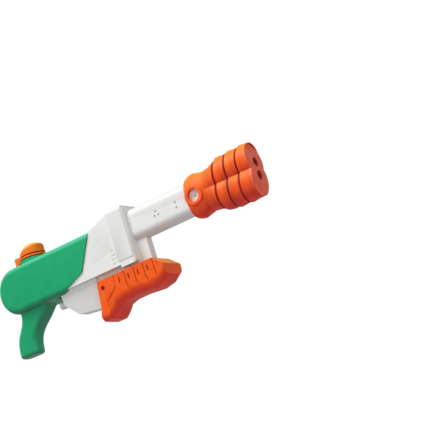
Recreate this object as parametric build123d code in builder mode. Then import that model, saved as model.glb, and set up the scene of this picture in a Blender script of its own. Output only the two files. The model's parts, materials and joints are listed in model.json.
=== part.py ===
from build123d import *
import os
from math import asin, degrees, sqrt

os.makedirs("parts", exist_ok=True)

# Overall sizes in mm
# The part stands on the grip's butt and the pump handle's hook, its muzzle towards +X, Z up.
# The origin is on the ground under the middle of the length.
overall_length = 602.0
axis_height = 150.0
muzzle_reach = 278.0
tank_reach = overall_length - muzzle_reach
front_x = overall_length / 2 - muzzle_reach

# Clearances
running_gap = 0.1
slide_gap = 0.4
part_gap = 0.3
seat_gap = 0.15

# Walls
tank_wall = 2.0
shell_wall = 2.2
handle_wall = 2.4
sleeve_wall = 3.0

# Water tank, distances from the body's front face and heights from the barrel axis
tank_width = 68.0
tank_rear_width = 52.0
tank_top = 20.0
tank_floor = -70.0
tank_round = 12.0
tank_tip_x = -82.0
tank_corner_x = -120.0
tank_corner_z = -47.0
tank_foot_x = -175.0
tank_taper_x = -225.0
spigot_reach = 22.0
tank_step = 3.0

# Grip sections: height, rear edge and front edge, half-width
grip_round = 12.0
butt_round = 6.0
grip_sections = [
    (-58.0, -291.0, -206.0, 24.0),
    (-72.0, -293.5, -226.0, 21.0),
    (-86.0, -299.0, -239.0, 18.5),
    (-106.0, -313.0, -262.0, 17.0),
    (-128.0, -321.5, -274.5, 16.5),
    (-axis_height, -323.5, -278.0, 16.5),
]

# Filler neck and cap
cap_x = -238.0
neck_radius = 20.0
neck_wall = 2.5
neck_top = 34.0
neck_pad_radius = 26.0
neck_pad_top = 26.0
collar_radius = 26.3
collar_thickness = 3.2
collar_lift = 2.0
collar_ring_radius = 22.3
lid_radius = 24.6
lid_wall = 2.2
lid_dome_radius = 32.0
lid_dome_shift = 5.0
lid_dome_top = 56.0
seal_depth = 7.0
seal_taper = 1.2
hinge_back = 33.0
hinge_z = 35.0
hinge_pin_radius = 1.6
knuckle_radius = 4.0
knuckle_width = 14.0
hinge_ear = 4.0

# Body
body_width = 62.0
body_round = 5.0
body_top_rear = 22.5
body_top_mid = 37.0
body_top_front = 38.5
body_slope_x = -40.0
flank_floor = -65.0
foot_floor = -70.0
foot_x = -34.0
collar_band = 36.0
collar_proud = 1.2
keel_top_width = 48.0
keel_foot_width = 24.0
keel_rear_x = -186.0
keel_elbow_z = -89.0
keel_heel_x = -163.0
keel_heel_z = -114.5
keel_front_z = -121.0
keel_front_x = -108.5
keel_shoulder_x = -99.0
boss_radius = 4.0
screw_radius = 1.5
screw_head_radius = 2.9
screw_head_height = 2.0
web_width = 18.0
web_reach = 21.0
web_foot = -96.0

# Barrel
barrel_width = 38.0
barrel_height = 62.0
barrel_round = 16.0
barrel_wall = 2.2
barrel_root = 36.0
barrel_reach = 178.0
stop_height = 2.4
stop_width = 14.0
stop_length = 5.0
mark_pitch = 44.5
mark_depth = 0.7
mark_radius = 2.0

# Nozzle head
nozzle_length = 145.0
face_thickness = 6.0
face_dome_radius = 250.0
face_seat = 2.5
lip_length = 10.0
lip_gap = 0.3
cavity_gap = 0.5
guide_wall = 1.8
window_back = 127.0
window_z = -2.0
window_radius = 12.2
window_ring_radius = 18.5
window_ring_y = 27.8
outlet_pitch = 25.0
outlet_radius = 9.0
outlet_tube_radius = 6.0
outlet_bore_radius = 4.0
rib_groove = 3.0
rib_depth = 1.6
rib_rake = 7.0
rib_first_back = 80.0
rib_pitch = 25.2
rib_count = 3

# Nozzle head sections: distance behind the face, half-height, half-width, rise of each lobe
nozzle_sections = [
    (145.0, 37.5, 24.6, 0.0),
    (138.0, 41.5, 25.4, 0.0),
    (129.0, 43.5, 25.8, 0.0),
    (108.0, 38.3, 24.4, 5.0),
    (92.0, 40.5, 25.4, 11.0),
    (80.0, 45.5, 27.2, 16.0),
    (70.0, 49.0, 28.2, 18.5),
    (38.0, 50.5, 28.4, 19.5),
    (face_thickness, 51.0, 28.4, 19.5),
]

# Pump
pump_z = -82.5
pump_stroke = 80.0
cylinder_wall = 2.2
rail_radius = 17.0
cylinder_rear = -118.0
cylinder_front = -6.0
piston_gap = 0.08
piston_length = 12.0
stroke_margin = 1.5
ring_wire = 1.1
rod_radius = 3.2
rod_end_radius = 1.6
rod_end_length = 6.0
gland_flange = 3.0
gland_length = 8.0
crosshead_x = 24.6
crosshead_length = 7.0
crosshead_width = 24.0
crosshead_top = -79.9
crosshead_floor = -95.5

# Valve block
block_rear = -176.0
block_radius = 12.0
block_bore = 5.0
block_spigot = 9.0
intake_x = -150.0
outlet_x = -131.0
turret_radius = 9.0
chamber_radius = 5.0
valve_seat_radius = 3.0
valve_ball_radius = 4.0
intake_top = -66.0
intake_cup_depth = 5.0
intake_cup_radius = 7.2
intake_seat_depth = 8.0
intake_floor = -97.0
intake_plug_height = 5.0
outlet_seat_z = -75.0
outlet_top = -63.0
spring_wire = 0.5
spring_radius = 2.6
spring_turns = 4
plug_radius = 8.0
plug_reach = 20.0
plug_spigot = 16.0
plug_seal_wire = 0.85
plug_seal_radius = 6.6

# Water way from the outlet valve to the two outlet tubes
fitting_radius = 6.0
fitting_height = 6.0
fitting_roof = 1.5
barb_reach = 11.0
hose_radius = 4.5
hose_bore = 3.1
hose_bend = 24.0
hose_foot_x = -78.0
hose_rise_x = -52.0
hose_front = -22.0
line_radius = 3.0
line_bore = 2.0
line_overlap = 10.0
manifold_length = 10.0
manifold_socket = 6.0
outlet_spigot = 12.0
nipple_radius = 3.0
nipple_wall = 2.5

# Pump handle
handle_width = 62.0
handle_top = -76.0
handle_rear_x = -96.0
handle_nose_x = 51.0
nose_chamfer_x = 31.0
nose_chamfer_z = -93.0
rail_gap = 0.5
web_slot_end = 22.0
rib_thickness = 2.2
guide_rib_places = [-60.0, -30.0, 12.0]
groove_width = 1.6
groove_depth = 1.2
groove_pitch = 21.8
groove_first_x = -33.5
groove_count = 4
dash_length = 11.0
dash_width = 2.2
dash_lead = 8.0
thumb_dent_radius = 4.0

# Pump handle sections: distance from the body's front face, floor height, corner radius
handle_sections = [
    (-112.0, -axis_height, 12.0),
    (-88.0, -axis_height, 12.0),
    (-78.0, -143.0, 14.0),
    (-66.0, -131.5, 17.0),
    (-48.0, -127.5, 19.0),
    (-20.0, -127.0, 19.0),
    (16.0, -130.0, 19.0),
    (36.0, -125.5, 17.0),
    (52.0, -112.0, 13.0),
]


def station(x):
    """A plane across the part, x ahead of the body's front face, centred on the barrel axis."""
    return Plane(origin=(front_x + x, 0, axis_height), x_dir=(0, 1, 0), z_dir=(1, 0, 0))


def level(z):
    """A level plane, z above the barrel axis, centred under the body's front face."""
    return Plane(origin=(front_x, 0, axis_height + z), x_dir=(1, 0, 0), z_dir=(0, 0, 1))


def upright(y):
    """A side plane seen from the right, y to the left of the middle."""
    return Plane(origin=(front_x, y, axis_height), x_dir=(1, 0, 0), z_dir=(0, -1, 0))


middle = upright(0)
half_tank = (tank_top - tank_floor) / 2
tank_mid_z = (tank_top + tank_floor) / 2
tank_rear_mid_x = half_tank - tank_reach


def tank_front(shift):
    """The tank's slanted front edges, from tip to foot, the first two points carried forward by shift."""
    return [
        (tank_tip_x + shift, tank_top),
        (tank_corner_x + shift, tank_corner_z + shift / 2),
        (tank_foot_x, tank_floor),
    ]


def tank_body(inset, shift, edge_round):
    """The tank's bottle with its outline moved in by inset and its front carried on by shift."""
    half = tank_width / 2 - inset
    rear_half = tank_rear_width / 2 - inset
    with BuildPart() as form:
        with BuildSketch(middle):
            with BuildLine():
                rear_top = (tank_rear_mid_x, tank_top)
                rear_foot = (tank_rear_mid_x, tank_floor)
                Polyline(rear_top, *tank_front(shift), rear_foot)
                ThreePointArc(rear_foot, (-tank_reach, tank_mid_z), rear_top)
            make_face()
            offset(amount=-inset, kind=Kind.INTERSECTION)
        extrude(amount=half, both=True)
        with BuildSketch(level(tank_floor)):
            with BuildLine():
                far = (tank_taper_x, half)
                side_line = Line((0, half), far)
                taper = TangentArc(far, (-tank_reach, rear_half), tangent=(-1, 0))
                Polyline((-tank_reach, rear_half), (-tank_reach - half, rear_half),
                         (-tank_reach - half, -rear_half), (-tank_reach, -rear_half))
                mirror(side_line, about=Plane.XZ)
                mirror(taper, about=Plane.XZ)
                Line((0, half), (0, -half))
            make_face()
        extrude(amount=tank_top - tank_floor, mode=Mode.INTERSECT)
        if edge_round > 0:
            fillet(form.edges().filter_by(lambda edge: is_long_rim(edge, inset)), edge_round)
    return form.part


def is_long_rim(edge, inset):
    """True for the tank's top, floor and round rear edges, false for its front edges."""
    z = edge.center().Z - axis_height
    x = edge.center().X - front_x
    at_side = abs(edge.center().Y) > tank_rear_width / 4
    on_top = abs(z - tank_top + inset) < 0.5
    on_floor = abs(z - tank_floor - inset) < 0.5
    at_rear = x < tank_rear_mid_x
    return at_side and (on_top or on_floor or at_rear)


def grip_form(inset):
    """The pistol grip lofted through its level sections, each moved in by inset."""
    with BuildPart() as form:
        for z, rear, front, half in grip_sections:
            floor_lift = inset if z == -axis_height else 0.0
            with BuildSketch(level(z + floor_lift)):
                with Locations(((rear + front) / 2, 0)):
                    RectangleRounded(front - rear - 2 * inset, 2 * (half - inset), grip_round - inset)
        loft()
        fillet(form.faces().sort_by(Axis.Z)[0].edges(), butt_round - inset / 2)
    return form.part


# Water tank
spigot_inset = tank_step + shell_wall + part_gap
spigot_round = tank_round - spigot_inset
tank_outer = tank_body(0.0, 0.0, tank_round)
tank_inner = tank_body(tank_wall, 0.0, tank_round - tank_wall)
spigot_outer = tank_body(spigot_inset, spigot_reach, spigot_round)
spigot_inner = tank_body(spigot_inset + tank_wall, spigot_reach, spigot_round - tank_wall)
nipple_foot = intake_top - intake_cup_depth + 0.4
grip_outer = grip_form(0.0)
grip_inner = grip_form(tank_wall)

with BuildPart() as water_tank:
    add(tank_outer)
    add(spigot_outer)
    add(grip_outer)
    with BuildSketch(level(tank_top - tank_round)):
        with Locations((cap_x, 0)):
            Circle(neck_pad_radius)
    extrude(amount=neck_pad_top - tank_top + tank_round)
    with BuildSketch(level(tank_top - tank_wall)):
        with Locations((cap_x, 0)):
            Circle(neck_radius)
    extrude(amount=neck_top - tank_top + tank_wall)
    with BuildSketch(level(nipple_foot)):
        with Locations((intake_x, 0)):
            Circle(nipple_radius + nipple_wall)
    extrude(amount=tank_corner_z - nipple_foot)
    add(tank_inner, mode=Mode.SUBTRACT)
    add(spigot_inner, mode=Mode.SUBTRACT)
    add(grip_inner, mode=Mode.SUBTRACT)
    with BuildSketch(level(tank_top - tank_round)):
        with Locations((cap_x, 0)):
            Circle(neck_radius - neck_wall)
    extrude(amount=neck_top - tank_top + tank_round, mode=Mode.SUBTRACT)
    with BuildSketch(level(nipple_foot)):
        with Locations((intake_x, 0)):
            Circle(nipple_radius)
    extrude(amount=tank_corner_z - nipple_foot, mode=Mode.SUBTRACT)

water_tank.part.label = "water_tank"
export_step(water_tank.part, "parts/water_tank.step")

# Cap collar: a flanged ring on the neck with two hinge ears behind it
collar_floor = neck_pad_top + collar_lift
collar_top = collar_floor + collar_thickness
hinge_x = cap_x - hinge_back
ear_inner = knuckle_width / 2 + part_gap

with BuildPart() as cap_collar:
    with BuildSketch(level(collar_floor)):
        with Locations((cap_x, 0)):
            Circle(collar_radius)
    extrude(amount=collar_thickness)
    with BuildSketch(level(neck_pad_top)):
        with Locations((cap_x, 0)):
            Circle(collar_ring_radius)
    extrude(amount=neck_top - neck_pad_top)
    with BuildSketch(middle):
        with BuildLine():
            ear_front = cap_x - collar_ring_radius
            ear_foot = (hinge_x - knuckle_radius, neck_pad_top - knuckle_radius)
            Polyline((ear_front, collar_floor), (ear_front, collar_top), (hinge_x, hinge_z + knuckle_radius))
            ThreePointArc((hinge_x, hinge_z + knuckle_radius), (hinge_x - knuckle_radius, hinge_z),
                          (hinge_x - knuckle_radius, hinge_z - knuckle_radius))
            Polyline((hinge_x - knuckle_radius, hinge_z - knuckle_radius), ear_foot,
                     (hinge_x, neck_pad_top - knuckle_radius - 1),
                     (cap_x - neck_pad_radius - part_gap, neck_pad_top), (ear_front, collar_floor))
        make_face()
    extrude(amount=ear_inner + hinge_ear, both=True)
    with BuildSketch(middle):
        with Locations((ear_front, hinge_z - knuckle_radius - part_gap)):
            Rectangle(5 * knuckle_radius, 4 * knuckle_radius, align=(Align.MAX, Align.MIN))
    extrude(amount=ear_inner, both=True, mode=Mode.SUBTRACT)
    with BuildSketch(level(neck_pad_top)):
        with Locations((cap_x, 0)):
            Circle(neck_radius + seat_gap)
    extrude(amount=neck_top - neck_pad_top, mode=Mode.SUBTRACT)
    with BuildSketch(middle):
        with Locations((hinge_x, hinge_z)):
            Circle(hinge_pin_radius + running_gap / 2)
    extrude(amount=ear_inner + hinge_ear, both=True, mode=Mode.SUBTRACT)

cap_collar.part.label = "cap_collar"
export_step(cap_collar.part, "parts/cap_collar.step")

# Filler cap: a hollow dome, highest ahead of its middle, with a knuckle behind
lid_floor = neck_top + part_gap
lid_top = lid_dome_top - lid_floor


def lid_form(inset):
    """A short cylinder capped by a ball whose middle lies ahead of the cap's."""
    with BuildPart() as form:
        with BuildSketch(level(lid_floor)):
            with Locations((cap_x, 0)):
                Circle(lid_radius - inset)
        extrude(amount=lid_top)
        dome = level(lid_dome_top - lid_dome_radius).location
        ball_place = dome * Location((cap_x + lid_dome_shift, 0, 0))
        ball = ball_place * Sphere(lid_dome_radius - inset, mode=Mode.PRIVATE)
        add(ball, mode=Mode.INTERSECT)
    return form.part


lid_outer = lid_form(0.0)
lid_inner = lid_form(lid_wall)

with BuildPart() as filler_cap:
    add(lid_outer)
    fillet(filler_cap.faces().filter_by(GeomType.SPHERE)[0].edges(), 3.0)
    with BuildSketch(middle):
        with BuildLine():
            Polyline((cap_x, lid_floor), (cap_x, lid_floor + 6), (hinge_x, hinge_z + knuckle_radius))
            ThreePointArc((hinge_x, hinge_z + knuckle_radius), (hinge_x - knuckle_radius, hinge_z),
                          (hinge_x, hinge_z - knuckle_radius))
            knuckle_foot = (hinge_x + knuckle_radius, lid_floor)
            Polyline((hinge_x, hinge_z - knuckle_radius), knuckle_foot, (cap_x, lid_floor))
        make_face()
    extrude(amount=knuckle_width / 2, both=True)
    add(lid_inner, mode=Mode.SUBTRACT)
    with BuildSketch(middle):
        with Locations((hinge_x, hinge_z)):
            Circle(hinge_pin_radius + running_gap / 2)
    extrude(amount=knuckle_width, both=True, mode=Mode.SUBTRACT)

filler_cap.part.label = "filler_cap"
export_step(filler_cap.part, "parts/filler_cap.step")

with BuildPart() as cap_hinge_pin:
    with BuildSketch(middle):
        with Locations((hinge_x, hinge_z)):
            Circle(hinge_pin_radius)
    extrude(amount=ear_inner + hinge_ear, both=True)

cap_hinge_pin.part.label = "cap_hinge_pin"
export_step(cap_hinge_pin.part, "parts/cap_hinge_pin.step")

# Cap seal: a tapered soft plug with a lip under the lid
with BuildPart() as cap_seal:
    seal_radius = neck_radius - neck_wall - 0.5
    with BuildSketch(level(lid_floor)):
        with Locations((cap_x, 0)):
            Circle(lid_radius - lid_wall - part_gap)
    extrude(amount=1.5)
    with BuildSketch(level(lid_floor)) as seal_root:
        with Locations((cap_x, 0)):
            Circle(seal_radius)
    with BuildSketch(level(lid_floor - seal_depth)) as seal_tip:
        with Locations((cap_x, 0)):
            Circle(seal_radius - seal_taper)
    loft([seal_root.sketch, seal_tip.sketch])

cap_seal.part.label = "cap_seal"
export_step(cap_seal.part, "parts/cap_seal.step")

# Body, the same form for the outside and, moved in by the wall, for the hollow
half_body = body_width / 2


def main_block(inset):
    """The upper body between the tank's slanted front and the flat front face."""
    with BuildPart() as form:
        with BuildSketch(middle):
            with BuildLine():
                Polyline((tank_tip_x, body_top_rear), (body_slope_x, body_top_mid), (0, body_top_front),
                         (0, foot_floor), (foot_x, foot_floor), (foot_x, flank_floor),
                         (tank_foot_x + 10, flank_floor), (tank_corner_x, tank_corner_z), close=True)
            make_face()
            offset(amount=-inset, kind=Kind.INTERSECTION)
        extrude(amount=half_body - inset, both=True)
        top_rims = form.edges().filter_by(lambda edge: is_top_rim(edge, inset))
        front_rims = form.faces().sort_by(Axis.X)[-1].edges()
        fillet(top_rims + front_rims, body_round - inset)
    return form.part


def is_top_rim(edge, inset):
    """True for the long edges along the top of the upper body."""
    high = edge.center().Z - axis_height > body_top_rear - inset - 1
    wide = abs(edge.center().Y) > half_body - inset - 0.1
    behind = edge.center().X < front_x - inset - 1
    return high and wide and behind


def keel_form(inset):
    """The keel below the body: its side outline met with its tapered section."""
    with BuildPart() as form:
        with BuildSketch(middle):
            with BuildLine():
                Polyline((keel_rear_x, flank_floor + 8), (keel_rear_x, keel_elbow_z),
                         (keel_heel_x, keel_heel_z), (keel_front_x, keel_front_z),
                         (keel_shoulder_x, flank_floor + 8), close=True)
            make_face()
            offset(amount=-inset, kind=Kind.INTERSECTION)
        extrude(amount=half_body, both=True)
        with BuildSketch(station(keel_rear_x)):
            with BuildLine():
                half_top = keel_top_width / 2 - inset
                half_foot = keel_foot_width / 2 - inset
                foot = keel_front_z + inset
                Polyline((half_top, flank_floor + 12), (half_top, flank_floor), (half_foot, foot),
                         (-half_foot, foot), (-half_top, flank_floor), (-half_top, flank_floor + 12),
                         close=True)
            make_face()
        extrude(amount=keel_shoulder_x - keel_rear_x, mode=Mode.INTERSECT)
    return form.part


def rail_form(inset):
    """The pump rail under the body: upright sides and a half-round bottom about the pump's axis."""
    with BuildPart() as form:
        with BuildSketch(station(keel_front_x - 6)):
            with Locations((0, pump_z)):
                Circle(rail_radius - inset)
            with Locations((0, (pump_z + flank_floor + 6) / 2)):
                Rectangle(2 * (rail_radius - inset), flank_floor + 6 - pump_z)
        extrude(amount=-keel_front_x + 6 - inset)
    return form.part


def web_form(inset):
    """The narrow web that joins the rail's front to the barrel, ahead of the front face."""
    with BuildPart() as form:
        with BuildSketch(middle):
            with BuildLine():
                Polyline((-8, 0), (-8, web_foot), (web_reach - 3, web_foot), (web_reach, web_foot + 6),
                         (web_reach, 0), close=True)
            make_face()
            offset(amount=-inset, kind=Kind.INTERSECTION)
        extrude(amount=web_width / 2 - inset, both=True)
    return form.part


def barrel_form(x, length, gap):
    """A length of the barrel's rounded oblong, grown all round by gap."""
    with BuildPart() as form:
        with BuildSketch(station(x)):
            RectangleRounded(barrel_width + 2 * gap, barrel_height + 2 * gap, barrel_round + gap)
        extrude(amount=length)
    return form.part


tank_room = tank_body(-part_gap, 0.0, 0.0)
spigot_room = tank_body(spigot_inset - part_gap, spigot_reach, spigot_round)
barrel_room = barrel_form(-barrel_root, barrel_root + barrel_reach, seat_gap)
block_outer = main_block(0.0)
block_inner = main_block(shell_wall)
keel_outer = keel_form(0.0)
keel_inner = keel_form(shell_wall)
rail_outer = rail_form(0.0)
rail_inner = rail_form(shell_wall)
web_outer = web_form(0.0)
web_inner = web_form(shell_wall)

with BuildPart() as shell_outer:
    add(block_outer)
    add(keel_outer)
    add(rail_outer)
    add(web_outer)
    with BuildSketch(station(-collar_band)):
        with BuildLine():
            half_collar = half_body + collar_proud
            Polyline((half_collar, foot_floor + 12), (half_collar, body_top_front - 4),
                     (half_collar - 6, body_top_front + 2.6), (6 - half_collar, body_top_front + 2.6),
                     (-half_collar, body_top_front - 4), (-half_collar, foot_floor + 12), close=True)
        make_face()
    extrude(amount=collar_band - 3)
    add(tank_room, mode=Mode.SUBTRACT)

with BuildPart() as shell_inner:
    add(block_inner)
    add(keel_inner)
    add(rail_inner)
    add(web_inner)



def keel_half(z):
    """Half the keel's width at a height."""
    share = (flank_floor - z) / (flank_floor - keel_front_z)
    return (keel_top_width + share * (keel_foot_width - keel_top_width)) / 2


# Screw places in the side view with the half-width of the wall there, each with a boss between the walls
body_screw_places = [
    (-53, 19, half_body),
    (-22, -50, half_body),
    (-84, -39, half_body),
    (-135, -107, keel_half(-107)),
    (10, -51, web_width / 2),
]
screw_sink = 1.2
screw_grip = 6.0

with BuildPart() as boss_bars:
    with BuildSketch(middle):
        with Locations(*[(x, z) for x, z, half in body_screw_places]):
            Circle(boss_radius)
    extrude(amount=half_body, both=True)
    add(shell_outer.part, mode=Mode.INTERSECT)

with BuildPart() as body_shell:
    add(shell_outer.part)
    add(shell_inner.part, mode=Mode.SUBTRACT)
    add(boss_bars.part)
    with BuildSketch(station(-barrel_root + 6)):
        with Locations((0, -1)):
            Rectangle(body_width - 2 * shell_wall + 1, barrel_height + 7)
    extrude(amount=shell_wall)
    add(barrel_room, mode=Mode.SUBTRACT)
    add(spigot_room, mode=Mode.SUBTRACT)
    with BuildSketch(level(nipple_foot)):
        with Locations((intake_x, 0)):
            Circle(nipple_radius + nipple_wall + part_gap)
    extrude(amount=tank_corner_z - nipple_foot, mode=Mode.SUBTRACT)
    with BuildSketch(station(-shell_wall - 1)):
        with Locations((0, pump_z)):
            Circle(rod_radius + slide_gap)
    extrude(amount=web_reach + shell_wall + 1, mode=Mode.SUBTRACT)
    with BuildSketch(station(keel_rear_x - 1)):
        with Locations((0, pump_z)):
            Circle(block_bore + seat_gap)
    extrude(amount=shell_wall + 2, mode=Mode.SUBTRACT)
    with BuildSketch(upright(half_body + 5)):
        with Locations(*[(x, z) for x, z, half in body_screw_places]):
            Circle(screw_radius + seat_gap)
    extrude(amount=half_body + 5 + screw_grip + 1, mode=Mode.SUBTRACT)

# Body halves: the right one carries a dot over three short bars, the left one the screw recesses
trim_x = -43.5
trim_top = -35.0
trim_pitch = 7.8
trim_length = 11.5
trim_width = 2.8
trim_depth = 0.8

with BuildPart() as body_shell_right:
    add(body_shell.part)
    split(bisect_by=Plane.XZ, keep=Keep.TOP)
    with BuildSketch(upright(-half_body)):
        with Locations((trim_x, trim_top)):
            Circle(trim_width)
        with Locations(*[(trim_x, trim_top - trim_pitch * step) for step in (1, 2, 3)]):
            SlotOverall(trim_length, trim_width)
    extrude(amount=-trim_depth, mode=Mode.SUBTRACT)

body_shell_right.part.label = "body_shell_right"
export_step(body_shell_right.part, "parts/body_shell_right.step")

with BuildPart() as body_shell_left:
    add(body_shell.part)
    split(bisect_by=Plane.XZ, keep=Keep.BOTTOM)
    for x, z, half in body_screw_places:
        with BuildSketch(upright(half - screw_head_height - screw_sink)):
            with Locations((x, z)):
                Circle(screw_head_radius + part_gap)
        extrude(amount=-half_body, mode=Mode.SUBTRACT)

body_shell_left.part.label = "body_shell_left"
export_step(body_shell_left.part, "parts/body_shell_left.step")


def screw(x, z, half):
    """A pan-head screw that goes in from the left, its head sunk below the wall at half."""
    seat = half - screw_head_height - screw_sink
    with BuildPart() as form:
        with BuildSketch(upright(seat)):
            with Locations((x, z)):
                Circle(screw_radius)
        extrude(amount=seat + screw_grip)
        with BuildSketch(upright(seat + screw_head_height)):
            with Locations((x, z)):
                Circle(screw_head_radius)
        extrude(amount=screw_head_height)
        top = form.faces().sort_by(Axis.Y)[-1]
        chamfer(top.edges(), 0.5)
    return form.part


body_screw_forms = [screw(x, z, half) for x, z, half in body_screw_places]

with BuildPart() as body_screws:
    add(body_screw_forms)

body_screws.part.label = "body_screws"
export_step(body_screws.part, "parts/body_screws.step")

# Barrel: an oblong tube with a stop above and below and three marks on its right side
window_x = muzzle_reach - window_back
stop_x = muzzle_reach - nozzle_length + lip_length + part_gap
stop_z = (barrel_height + stop_height - 1) / 2
mark_spread = 5.0

with BuildPart() as barrel:
    with BuildSketch(station(-barrel_root)):
        RectangleRounded(barrel_width, barrel_height, barrel_round)
        RectangleRounded(barrel_width - 2 * barrel_wall, barrel_height - 2 * barrel_wall,
                         barrel_round - barrel_wall, mode=Mode.SUBTRACT)
    extrude(amount=barrel_root + barrel_reach)
    with BuildSketch(station(stop_x)):
        with Locations((0, stop_z), (0, -stop_z)):
            Rectangle(stop_width, stop_height + 1)
    extrude(amount=stop_length)
    for count in (1, 2, 3):
        spread = mark_spread if count > 1 else 0.0
        with BuildSketch(upright(-barrel_width / 2)):
            with Locations((window_x - mark_pitch * (count - 1), window_z)):
                with PolarLocations(spread, count, 90):
                    Circle(mark_radius)
        extrude(amount=-mark_depth, mode=Mode.SUBTRACT)

barrel.part.label = "barrel"
export_step(barrel.part, "parts/barrel.step")

# Barrel manifold: a plug in the barrel's end that splits one water line into two outlets
manifold_x = barrel_reach - manifold_length
channel_x = barrel_reach - manifold_length / 2
outlet_places = [(0, outlet_pitch / 2), (0, -outlet_pitch / 2)]

with BuildPart() as barrel_manifold:
    with BuildSketch(station(manifold_x)):
        plug_inset = barrel_wall + seat_gap
        RectangleRounded(barrel_width - 2 * plug_inset, barrel_height - 2 * plug_inset,
                         barrel_round - plug_inset)
    extrude(amount=manifold_length)
    with BuildSketch(station(manifold_x - line_overlap)):
        Circle(manifold_socket)
    extrude(amount=line_overlap)
    with BuildSketch(station(barrel_reach)):
        with Locations(*outlet_places):
            Circle(outlet_bore_radius - running_gap)
    extrude(amount=outlet_spigot)
    with BuildSketch(station(manifold_x - line_overlap)):
        Circle(line_radius + running_gap)
    extrude(amount=line_overlap, mode=Mode.SUBTRACT)
    with BuildSketch(station(manifold_x)):
        Circle(line_bore)
    extrude(amount=manifold_length / 2, mode=Mode.SUBTRACT)
    with BuildSketch(level(-outlet_pitch / 2)):
        with Locations((channel_x, 0)):
            Circle(line_bore)
    extrude(amount=outlet_pitch, mode=Mode.SUBTRACT)
    with BuildSketch(station(channel_x)):
        with Locations(*outlet_places):
            Circle(line_bore)
    extrude(amount=manifold_length + outlet_spigot, mode=Mode.SUBTRACT)

barrel_manifold.part.label = "barrel_manifold"
export_step(barrel_manifold.part, "parts/barrel_manifold.step")


def outlet_tube(z):
    """A soft tube from its spigot to just behind the face's dome."""
    with BuildPart() as form:
        with BuildSketch(station(barrel_reach)):
            with Locations((0, z)):
                Circle(outlet_tube_radius)
                Circle(outlet_bore_radius, mode=Mode.SUBTRACT)
        extrude(amount=muzzle_reach - barrel_reach - 1)
    return form.part


outlet_tube_upper = outlet_tube(outlet_pitch / 2)
outlet_tube_upper.label = "outlet_tube_upper"
export_step(outlet_tube_upper, "parts/outlet_tube_upper.step")

outlet_tube_lower = outlet_tube(-outlet_pitch / 2)
outlet_tube_lower.label = "outlet_tube_lower"
export_step(outlet_tube_lower, "parts/outlet_tube_lower.step")

# Nozzle head


def nozzle_form(inset):
    """The ribbed head's two lobes, lofted through its sections, each moved in by inset."""
    with BuildPart() as form:
        for back, half_height, half_width, rise in nozzle_sections:
            radius_z = half_height - inset - rise
            radius_y = half_width - inset
            crease = degrees(asin(rise / radius_z))
            with BuildSketch(station(muzzle_reach - back)):
                with BuildLine():
                    span = 180 + 2 * crease
                    EllipticalCenterArc((0, rise), radius_y, radius_z, -crease, arc_size=span)
                    EllipticalCenterArc((0, -rise), radius_y, radius_z, 180 - crease, arc_size=span)
                make_face()
        loft(ruled=True)
    return form.part


nozzle_outer = nozzle_form(0.0)
nozzle_core = nozzle_form(rib_depth)
nozzle_rear = muzzle_reach - nozzle_length

with BuildPart() as nozzle_hollow:
    add(nozzle_form(sleeve_wall))
    with BuildSketch(station(nozzle_rear + lip_length)):
        Rectangle(4 * barrel_width, 4 * barrel_height)
    extrude(amount=nozzle_length, mode=Mode.INTERSECT)

with BuildPart() as rib_grooves:
    with BuildSketch(middle):
        for step in range(rib_count):
            with Locations((muzzle_reach - rib_first_back + rib_pitch * step, 0)):
                Rectangle(rib_groove, 3 * barrel_height, rotation=-rib_rake)
    extrude(amount=barrel_width, both=True)
    add(nozzle_core, mode=Mode.SUBTRACT)

with BuildPart() as nozzle_sleeve:
    add(nozzle_outer)
    add(nozzle_hollow.part, mode=Mode.SUBTRACT)
    add(barrel_form(nozzle_rear + lip_length / 2, nozzle_length - face_thickness - lip_length / 2,
                    cavity_gap + guide_wall))
    with BuildSketch(middle):
        with Locations((window_x, window_z)):
            Circle(window_ring_radius)
    extrude(amount=window_ring_y)
    ring_face = nozzle_sleeve.faces().sort_by(Axis.Y)[0]
    fillet(ring_face.edges(), 1.8)
    add(rib_grooves.part, mode=Mode.SUBTRACT)
    with BuildSketch(station(nozzle_rear - 1)):
        RectangleRounded(barrel_width + 2 * lip_gap, barrel_height + 2 * lip_gap, barrel_round + lip_gap)
    extrude(amount=nozzle_length + 1, mode=Mode.SUBTRACT)
    with BuildSketch(station(nozzle_rear + lip_length)):
        RectangleRounded(barrel_width + 2 * cavity_gap, barrel_height + 2 * cavity_gap,
                         barrel_round + cavity_gap)
        Rectangle(stop_width + 2 * slide_gap, barrel_height + 2 * (stop_height + slide_gap))
    extrude(amount=nozzle_length, mode=Mode.SUBTRACT)
    with BuildSketch(middle):
        with Locations((window_x, window_z)):
            Circle(window_radius)
    extrude(amount=window_ring_y + 1, mode=Mode.SUBTRACT)

nozzle_sleeve.part.label = "nozzle_sleeve"
export_step(nozzle_sleeve.part, "parts/nozzle_sleeve.step")

# Nozzle face: a domed front plate with a rim that seats in the sleeve
dome_ball = station(muzzle_reach - face_dome_radius).location * Sphere(face_dome_radius, mode=Mode.PRIVATE)

with BuildPart() as nozzle_face:
    back, half_height, half_width, rise = nozzle_sections[-1]
    with BuildSketch(station(muzzle_reach - face_thickness)):
        with BuildLine():
            lobe = half_height - rise
            crease = degrees(asin(rise / lobe))
            EllipticalCenterArc((0, rise), half_width, lobe, -crease, arc_size=180 + 2 * crease)
            EllipticalCenterArc((0, -rise), half_width, lobe, 180 - crease, arc_size=180 + 2 * crease)
        make_face()
    extrude(amount=face_thickness)
    add(dome_ball, mode=Mode.INTERSECT)
    with BuildSketch(station(muzzle_reach - face_thickness - face_seat)):
        RectangleRounded(barrel_width, barrel_height, barrel_round)
    extrude(amount=face_seat)
    with BuildSketch(station(muzzle_reach - face_thickness - face_seat)):
        with Locations(*outlet_places):
            Circle(outlet_radius)
    extrude(amount=face_thickness + face_seat, mode=Mode.SUBTRACT)

nozzle_face.part.label = "nozzle_face"
export_step(nozzle_face.part, "parts/nozzle_face.step")

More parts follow.
